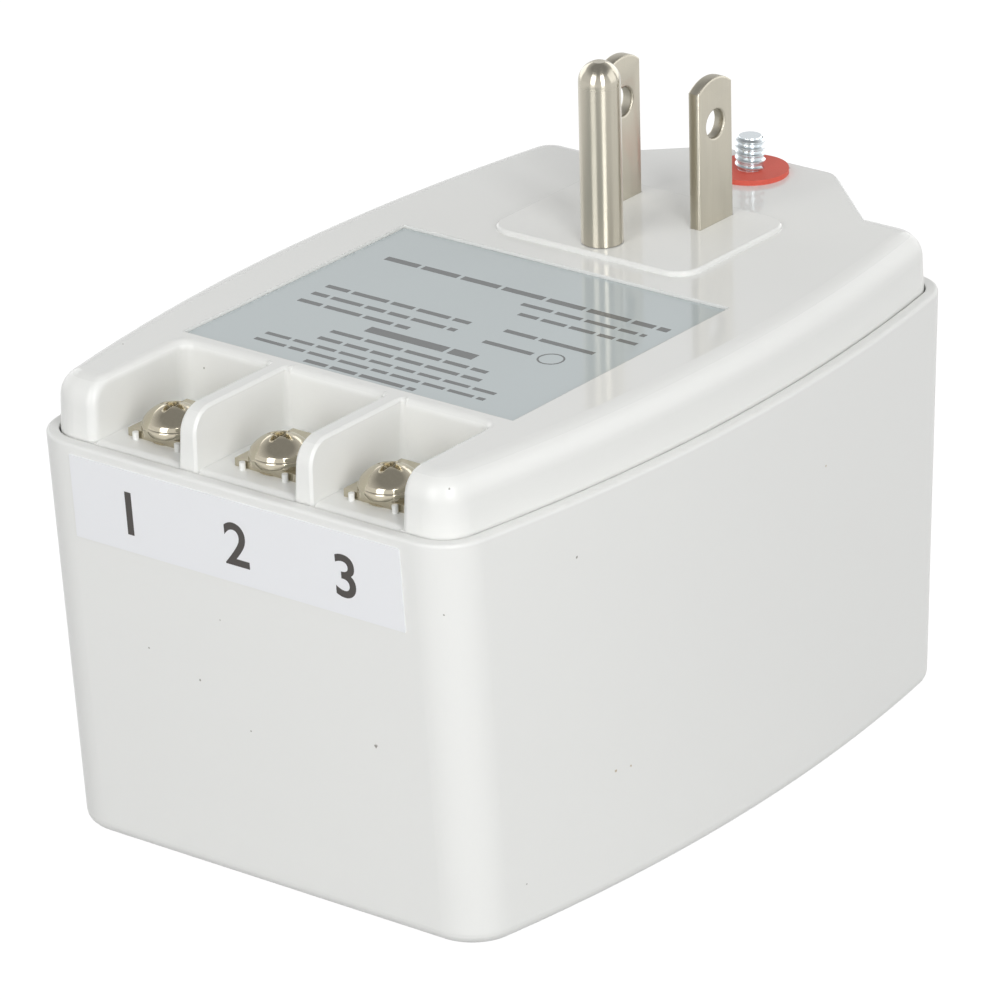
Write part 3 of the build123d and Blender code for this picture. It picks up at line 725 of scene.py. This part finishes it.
def turned(rows, segments, shape):
    """Closed turned surface through rows of radius and height, each vertex then moved by a shape."""
    form = bmesh.new()
    loops = []
    for radius, level in rows:
        if radius == 0:
            loops.append([form.verts.new(shape(0.0, 0.0, level))])
            continue
        loop = []
        for step in range(segments):
            angle = 2 * pi * step / segments
            loop.append(form.verts.new(shape(radius * cos(angle), radius * sin(angle), level)))
        loops.append(loop)
    for lower, upper in zip(loops, loops[1:]):
        for step in range(segments):
            after = (step + 1) % segments
            corners = []
            for loop, at in ((lower, step), (lower, after), (upper, after), (upper, step)):
                corner = loop[at] if len(loop) > 1 else loop[0]
                if corner not in corners:
                    corners.append(corner)
            form.faces.new(corners)
    bmesh.ops.recalc_face_normals(form, faces=form.faces)
    mesh = bpy.data.meshes.new("turned")
    form.to_mesh(mesh)
    form.free()
    return mesh


def soft_step(distance, edge):
    """One inside, zero outside, with a short even slope across the edge."""
    return min(max(0.5 - distance / edge, 0.0), 1.0)


def make_terminal_screw(node):
    """High domed screw head with a cross recess, on a plain shank."""
    low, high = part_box(node)
    middle_x = (low.x + high.x) / 2
    middle_y = (low.y + high.y) / 2
    under = plate_high.z
    side_top = under + head_side
    top = under + head_height
    rise = top - side_top
    ball = (head_radius**2 + rise**2) / (2 * rise)
    rows = [(0.0, low.z), (shank_radius, low.z), (shank_radius, under), (head_radius, under)]
    inner = head_radius - head_edge_radius
    edge_foot = side_top - head_edge_radius
    rows.append((head_radius, edge_foot))
    for step in range(1, head_edge_steps):
        turn = pi / 2 * step / head_edge_steps
        rows.append((inner + head_edge_radius * cos(turn), edge_foot + head_edge_radius * sin(turn)))
    for ring in range(head_rings):
        reach = inner * (1 - ring / head_rings)
        rows.append((reach, top - ball + sqrt(ball**2 - reach**2)))
    rows.append((0.0, top))

    def recess(x, y, level):
        """Vertex at its place on the part, sunk into the cross where it lies in it."""
        if level <= side_top:
            return (middle_x + x, middle_y + y, level)
        share = 0.0
        for along, across in ((x, y), (y, x)):
            reach = min(abs(along) / (cross_span / 2), 1.0)
            half = cross_width / 2 * (1 - cross_narrowing * reach)
            arm = soft_step(abs(across) - half, recess_edge)
            arm *= soft_step(abs(along) - cross_span / 2, arm_end_softness * recess_edge)
            share = max(share, arm)
        middle = min(sqrt(x**2 + y**2) / (cross_span / 2), 1.0)
        floor = top - cross_depth * (1 - cross_shallowing * middle)
        return (middle_x + x, middle_y + y, level + (min(floor, level) - level) * share)

    mesh = turned(rows, head_segments, recess)
    name = node.replace("screw", "screw_domed")
    piece = finish_piece(name, mesh, "terminal_nickel", head_smooth_angle)
    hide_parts(node)
    return piece


def add_block(form, low, high):
    """Block between two corners."""
    block = bmesh.ops.create_cube(form, size=1.0)["verts"]
    size = Vector(high) - Vector(low)
    middle = (Vector(low) + Vector(high)) / 2
    for vertex in block:
        vertex.co = Vector((vertex.co.x * size.x, vertex.co.y * size.y, vertex.co.z * size.z)) + middle


def blade_outline(foot):
    """Side view of a blade from its foot up: straight edges and a bowed tip."""
    half = blade_width / 2
    rise = blade_tip - blade_shoulder
    bow = (half**2 + rise**2) / (2 * rise)
    widest = asin(half / bow)
    points = [(-half, foot), (half, foot)]
    for step in range(tip_steps + 1):
        angle = widest * (1 - 2 * step / tip_steps)
        points.append((bow * sin(angle), pad_top + blade_tip - bow + bow * cos(angle)))
    return points


def flat_plate(outline, hole, thickness, edge_radius):
    """Mesh of a plate with a hole, its edges rounded, lying flat with its middle at zero."""
    data = bpy.data.curves.new("plate", "CURVE")
    data.dimensions = "2D"
    data.fill_mode = "BOTH"
    data.extrude = thickness / 2 - edge_radius
    data.bevel_depth = edge_radius
    data.bevel_resolution = blade_edge_steps
    data.offset = -edge_radius
    for points in (outline, hole):
        line = data.splines.new("POLY")
        line.points.add(len(points) - 1)
        for point, (across, upward) in zip(line.points, points):
            point.co = (across, upward, 0, 1)
        line.use_cyclic_u = True
    holder = bpy.data.objects.new("holder", data)
    bpy.context.scene.collection.objects.link(holder)
    bpy.context.view_layer.update()
    evaluated = holder.evaluated_get(bpy.context.evaluated_depsgraph_get())
    mesh = bpy.data.meshes.new_from_object(evaluated)
    bpy.data.objects.remove(holder)
    return mesh


def make_blade(node):
    """Flat blade with rounded edges and a hole, its shoulder and its tail inside the cover."""
    low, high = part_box(node)
    middle_x = (low.x + high.x) / 2
    middle_y = (low.y + high.y) / 2
    foot = pad_top - blade_held_depth
    hole_middle = pad_top + blade_hole_height
    hole = []
    for step in range(hole_steps):
        angle = -2 * pi * step / hole_steps
        hole.append((blade_hole_radius * cos(angle), hole_middle + blade_hole_radius * sin(angle)))
    mesh = flat_plate(blade_outline(foot), hole, blade_thickness, blade_edge_radius)
    mesh.transform(Matrix((
        (0, 0, 1, middle_x),
        (1, 0, 0, middle_y),
        (0, 1, 0, 0),
        (0, 0, 0, 1),
    )))
    form = bmesh.new()
    form.from_mesh(mesh)
    bmesh.ops.remove_doubles(form, verts=form.verts, dist=blade_merge_distance)
    half = blade_thickness / 2
    side = half + blade_shoulder_margin
    reach = blade_width / 2 + blade_shoulder_margin
    shoulder_foot = foot - blade_shoulder_height
    add_block(
        form,
        (middle_x - side, middle_y - reach, shoulder_foot),
        (middle_x + side, middle_y + reach, foot),
    )
    add_block(
        form,
        (middle_x - half, middle_y - blade_tail_width / 2, low.z),
        (middle_x + half, middle_y + blade_tail_width / 2, shoulder_foot),
    )
    bmesh.ops.recalc_face_normals(form, faces=form.faces)
    form.to_mesh(mesh)
    form.free()
    piece = finish_piece(node + "_rounded", mesh, "prong_nickel", blade_smooth_angle)
    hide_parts(node)
    return piece


def make_thread_tree():
    """Geometry nodes for a thread: a ridge of triangular section that climbs a helix."""
    tree = bpy.data.node_groups.new("screw_thread", "GeometryNodeTree")
    tree.is_modifier = True
    sizes = (
        ("Core radius", "NodeSocketFloat"),
        ("Ridge height", "NodeSocketFloat"),
        ("Ridge width", "NodeSocketFloat"),
        ("Pitch", "NodeSocketFloat"),
        ("Turns", "NodeSocketFloat"),
        ("Finish", "NodeSocketMaterial"),
    )
    for label, kind in sizes:
        tree.interface.new_socket(label, in_out="INPUT", socket_type=kind)
    tree.interface.new_socket("Geometry", in_out="OUTPUT", socket_type="NodeSocketGeometry")
    start = tree.nodes.new("NodeGroupInput")
    end = tree.nodes.new("NodeGroupOutput")
    links = tree.links
    climb = add_node(tree, "ShaderNodeMath", operation="MULTIPLY")
    links.new(start.outputs["Pitch"], climb.inputs[0])
    links.new(start.outputs["Turns"], climb.inputs[1])
    helix = tree.nodes.new("GeometryNodeCurveSpiral")
    helix.inputs["Resolution"].default_value = thread_steps_per_turn
    links.new(start.outputs["Turns"], helix.inputs["Rotations"])
    links.new(start.outputs["Core radius"], helix.inputs["Start Radius"])
    links.new(start.outputs["Core radius"], helix.inputs["End Radius"])
    links.new(climb.outputs[0], helix.inputs["Height"])
    level = tree.nodes.new("GeometryNodeSetCurveNormal")
    level.mode = "Z_UP"
    links.new(helix.outputs["Curve"], level.inputs["Curve"])
    half = add_node(tree, "ShaderNodeMath", operation="MULTIPLY")
    half.inputs[1].default_value = 0.5
    links.new(start.outputs["Ridge width"], half.inputs[0])
    other_half = add_node(tree, "ShaderNodeMath", operation="MULTIPLY")
    other_half.inputs[1].default_value = -0.5
    links.new(start.outputs["Ridge width"], other_half.inputs[0])
    outward_height = add_node(tree, "ShaderNodeMath", operation="MULTIPLY")
    outward_height.inputs[1].default_value = -1.0
    links.new(start.outputs["Ridge height"], outward_height.inputs[0])
    section = add_node(tree, "GeometryNodeCurvePrimitiveQuadrilateral", mode="POINTS")
    corners = (
        ("Point 1", None, half.outputs[0]),
        ("Point 2", outward_height.outputs[0], half.outputs[0]),
        ("Point 3", outward_height.outputs[0], other_half.outputs[0]),
        ("Point 4", None, other_half.outputs[0]),
    )
    for label, outward, along in corners:
        corner = tree.nodes.new("ShaderNodeCombineXYZ")
        if outward is not None:
            links.new(outward, corner.inputs["X"])
            crest = add_node(tree, "ShaderNodeMath", operation="MULTIPLY")
            crest.inputs[1].default_value = thread_crest_share
            links.new(along, crest.inputs[0])
            along = crest.outputs[0]
        links.new(along, corner.inputs["Y"])
        links.new(corner.outputs["Vector"], section.inputs[label])
    ridge = tree.nodes.new("GeometryNodeCurveToMesh")
    ridge.inputs["Fill Caps"].default_value = True
    links.new(level.outputs["Curve"], ridge.inputs["Curve"])
    links.new(section.outputs["Curve"], ridge.inputs["Profile Curve"])
    real = tree.nodes.new("GeometryNodeRealizeInstances")
    links.new(ridge.outputs["Mesh"], real.inputs["Geometry"])
    dress = tree.nodes.new("GeometryNodeSetMaterial")
    links.new(real.outputs["Geometry"], dress.inputs["Geometry"])
    links.new(start.outputs["Finish"], dress.inputs["Material"])
    links.new(dress.outputs["Geometry"], end.inputs["Geometry"])
    return tree


def grown_mesh(tree, **values):
    """Plain mesh that a geometry nodes tree gives for some values."""
    holder = bpy.data.objects.new("holder", bpy.data.meshes.new("holder"))
    bpy.context.scene.collection.objects.link(holder)
    grower = holder.modifiers.new("grower", "NODES")
    grower.node_group = tree
    for item in tree.interface.items_tree:
        if item.in_out == "INPUT":
            label = item.name.replace(" ", "_")
            if label in values:
                grower[item.identifier] = values[label]
    bpy.context.view_layer.update()
    evaluated = holder.evaluated_get(bpy.context.evaluated_depsgraph_get())
    mesh = bpy.data.meshes.new_from_object(evaluated)
    holder.modifiers.remove(grower)
    bpy.data.objects.remove(holder)
    return mesh


def make_tab_screw():
    """Zinc plated screw: slotted head under the tab, thin neck, and a real thread above the washer."""
    tip = tab_screw_high.z
    head_low = tab_screw_low.z
    head_top = head_low + tab_head_height
    neck_top = washer_high.z - recess_edge
    rows = [
        (tab_head_radius - tab_head_bevel, head_low),
        (tab_head_radius, head_low + tab_head_bevel),
        (tab_head_radius, head_top),
        (neck_radius, head_top),
        (neck_radius, neck_top),
        (thread_core_radius, neck_top + recess_edge),
        (thread_core_radius, tip - screw_point),
        (thread_core_radius - screw_point / 2, tip),
        (0.0, tip),
    ]
    face_radius = tab_head_radius - tab_head_bevel
    face = [(face_radius * ring / tab_slot_rings, head_low) for ring in range(tab_slot_rings)]

    def slotted(x, y, level):
        """Vertex at its place on the part, raised into the slot where it lies in it."""
        depth = 0.0
        if level < head_low + tab_head_bevel / 2:
            aside = abs(y) - tab_slot_width / 2
            depth = tab_slot_depth * soft_step(aside, tab_slot_softness * recess_edge)
        return (x, tab_screw_y + y, level + depth)

    core = turned(face + rows, screw_segments, slotted)
    ridge_low = neck_top + thread_ridge_width / 2
    ridge_high = tip - screw_point / 2
    ridge = grown_mesh(
        make_thread_tree(),
        Core_radius=thread_core_radius - thread_sink,
        Ridge_height=thread_radius - thread_core_radius + thread_sink,
        Ridge_width=thread_ridge_width,
        Pitch=thread_pitch,
        Turns=(ridge_high - ridge_low) / thread_pitch,
        Finish=materials["screw_zinc"],
    )
    ridge.transform(Matrix.Translation((0, tab_screw_y, ridge_low)))
    form = bmesh.new()
    form.from_mesh(core)
    form.from_mesh(ridge)
    bmesh.ops.recalc_face_normals(form, faces=form.faces)
    form.to_mesh(core)
    form.free()
    piece = finish_piece("tab_screw_threaded", core, "screw_zinc", thread_smooth_angle)
    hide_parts("tab_screw")
    return piece


def add_ring(form, bottom, top):
    """Flat ring round its place on the label, with a section of four corners."""
    sections = []
    for step in range(ring_segments):
        angle = 2 * pi * step / ring_segments
        corners = []
        for radius in (ring_radius, ring_radius - ring_stroke):
            x = ring_place[0] + radius * cos(angle)
            y = ring_place[1] + radius * sin(angle)
            corners += [form.verts.new((x, y, bottom)), form.verts.new((x, y, top))]
        sections.append(corners)
    for here, there in zip(sections, sections[1:] + sections[:1]):
        for first, second in ((0, 1), (1, 3), (3, 2), (2, 0)):
            form.faces.new((here[first], there[first], there[second], here[second]))


def make_label_print():
    """Rows of plain bars where the label carries its small print, and one plain ring."""
    form = bmesh.new()
    lengths = random.Random(bar_seed)
    bottom = label_high.z
    top = bottom + print_thickness
    for left, right, middle, height, pitch in label_rows:
        at = left * MM
        end = right * MM
        while at < end - bar_gap:
            reach = min(at + pitch * MM * lengths.uniform(*bar_spread), end)
            if end - reach < shortest_bar:
                reach = end
            half = height * MM / 2
            add_block(form, (at, middle * MM - half, bottom), (reach, middle * MM + half, top))
            at = reach + bar_gap
    add_ring(form, bottom, top)
    bmesh.ops.recalc_face_normals(form, faces=form.faces)
    mesh = bpy.data.meshes.new("label_print")
    form.to_mesh(mesh)
    form.free()
    return finish_piece("label_print", mesh, "label_ink")


def make_number(text, x):
    """One number printed on the paper under its terminal."""
    words = bpy.data.curves.new("number", "FONT")
    words.body = text
    words.align_x = "CENTER"
    words.size = 1.0
    words.offset = number_boldness
    words.extrude = print_thickness / number_height
    holder = bpy.data.objects.new("holder", words)
    bpy.context.scene.collection.objects.link(holder)
    bpy.context.view_layer.update()
    evaluated = holder.evaluated_get(bpy.context.evaluated_depsgraph_get())
    mesh = bpy.data.meshes.new_from_object(evaluated)
    bpy.data.objects.remove(holder)
    highest = max(vertex.co.y for vertex in mesh.vertices)
    lowest = min(vertex.co.y for vertex in mesh.vertices)
    size = number_height / (highest - lowest)
    upward = Vector((0, -sin(paper_tilt), cos(paper_tilt)))
    outward = Vector((0, -cos(paper_tilt), -sin(paper_tilt)))
    paper_length = (paper_high.z - paper_low.z) / cos(paper_tilt)
    top_edge = Vector((0, paper_low.y, paper_high.z))
    foot = top_edge - upward * (paper_length - number_baseline_above_paper_foot)
    place = foot + Vector((x, 0, 0)) - upward * lowest * size
    mesh.transform(Matrix((
        (size, 0, 0, place.x),
        (0, upward.y * size, outward.y * size, place.y),
        (0, upward.z * size, outward.z * size, place.z),
        (0, 0, 0, 1),
    )))
    mesh.name = "number_" + text
    return finish_piece("number_" + text, mesh, "number_ink")


for count, screw_node in enumerate(terminal_names, start=1):
    make_terminal_screw(screw_node)
    screw_low, screw_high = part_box(screw_node)
    make_number(str(count), (screw_low.x + screw_high.x) / 2 + number_shift)
for blade_node in blade_names:
    make_blade(blade_node)
make_tab_screw()
make_label_print()


# Stage


def seen_only(tree):
    """Mask that is one for what the camera sees, directly, in gloss or through glass."""
    path = tree.nodes.new("ShaderNodeLightPath")
    total = path.outputs["Is Camera Ray"]
    for label in ("Is Glossy Ray", "Is Transmission Ray"):
        both = add_node(tree, "ShaderNodeMath", operation="MAXIMUM")
        tree.links.new(total, both.inputs[0])
        tree.links.new(path.outputs[label], both.inputs[1])
        total = both.outputs[0]
    return total


def make_floor():
    """Plain white floor that the camera sees as white, but that keeps the object's shadow."""
    mesh = bpy.data.meshes.new("floor")
    half = floor_half
    corners = [(-half, -half, 0), (half, -half, 0), (half, half, 0), (-half, half, 0)]
    mesh.from_pydata(corners, [], [(0, 1, 2, 3)])
    floor = bpy.data.objects.new("floor", mesh)
    bpy.context.scene.collection.objects.link(floor)
    material, tree, shader = start_material("floor_white")
    grain = place_group(
        tree,
        grain_group,
        Grain_per_metre=floor_grain_per_metre,
        Cloud_per_metre=floor_clouds_per_metre,
        Cloud_share=floor_cloud_share,
    )
    base = mix_colours(tree, grain.outputs["Mask"], floor_shade, floor_tone)
    tree.links.new(base, shader.inputs["Base Color"])
    shader.inputs["Roughness"].default_value = floor_roughness
    glow = tree.nodes.new("ShaderNodeEmission")
    glow.inputs["Strength"].default_value = floor_glow
    share = add_node(tree, "ShaderNodeMath", operation="MULTIPLY")
    share.inputs[1].default_value = floor_glow_share
    tree.links.new(seen_only(tree), share.inputs[0])
    mix = tree.nodes.new("ShaderNodeMixShader")
    tree.links.new(share.outputs[0], mix.inputs["Fac"])
    tree.links.new(shader.outputs["BSDF"], mix.inputs[1])
    tree.links.new(glow.outputs["Emission"], mix.inputs[2])
    tree.links.new(mix.outputs["Shader"], tree.nodes["Material Output"].inputs["Surface"])
    floor.data.materials.append(material)
    return floor


def make_world():
    """White surroundings, brighter overhead; in gloss a white backdrop under a darker ceiling."""
    world = bpy.data.worlds.new("light_tent")
    bpy.context.scene.world = world
    world.use_nodes = True
    tree = world.node_tree
    place = tree.nodes.new("ShaderNodeTexCoord")
    axes = tree.nodes.new("ShaderNodeSeparateXYZ")
    tree.links.new(place.outputs["Generated"], axes.inputs["Vector"])
    strength = add_node(tree, "ShaderNodeMix", data_type="FLOAT")
    tree.links.new(seen_only(tree), strength.inputs["Factor"])
    blends = (("A", tent_heights, tent_strengths), ("B", backdrop_heights, backdrop_strengths))
    for label, heights, strengths in blends:
        fade = add_node(tree, "ShaderNodeMapRange")
        set_inputs(
            fade,
            From_Min=heights[0],
            From_Max=heights[1],
            To_Min=strengths[0],
            To_Max=strengths[1],
        )
        tree.links.new(axes.outputs["Z"], fade.inputs["Value"])
        tree.links.new(fade.outputs["Result"], strength.inputs[label])
    background = tree.nodes["Background"]
    background.inputs["Color"].default_value = (1, 1, 1, 1)
    tree.links.new(strength.outputs["Result"], background.inputs["Strength"])
    return world


def add_lamp(name, turn_from_camera, elevation, distance, width, height, power):
    """Soft lamp that faces the object from angles in degrees, counted from the camera's side."""
    azimuth = camera_azimuth + radians(turn_from_camera)
    level = cos(radians(elevation))
    direction = Vector((sin(azimuth) * level, -cos(azimuth) * level, sin(radians(elevation))))
    data = bpy.data.lights.new(name, "AREA")
    data.shape = "RECTANGLE"
    data.size = width
    data.size_y = height
    data.energy = power
    lamp = bpy.data.objects.new(name, data)
    face = (-direction).to_track_quat("-Z", "Y").to_matrix().to_4x4()
    lamp.matrix_world = Matrix.Translation(Vector(lamp_aim) + direction * distance) @ face
    bpy.context.scene.collection.objects.link(lamp)
    return lamp


make_camera()
make_floor()
make_world()
for lamp_values in lamps:
    add_lamp(*lamp_values)

bpy.context.scene.view_settings.view_transform = "Standard"
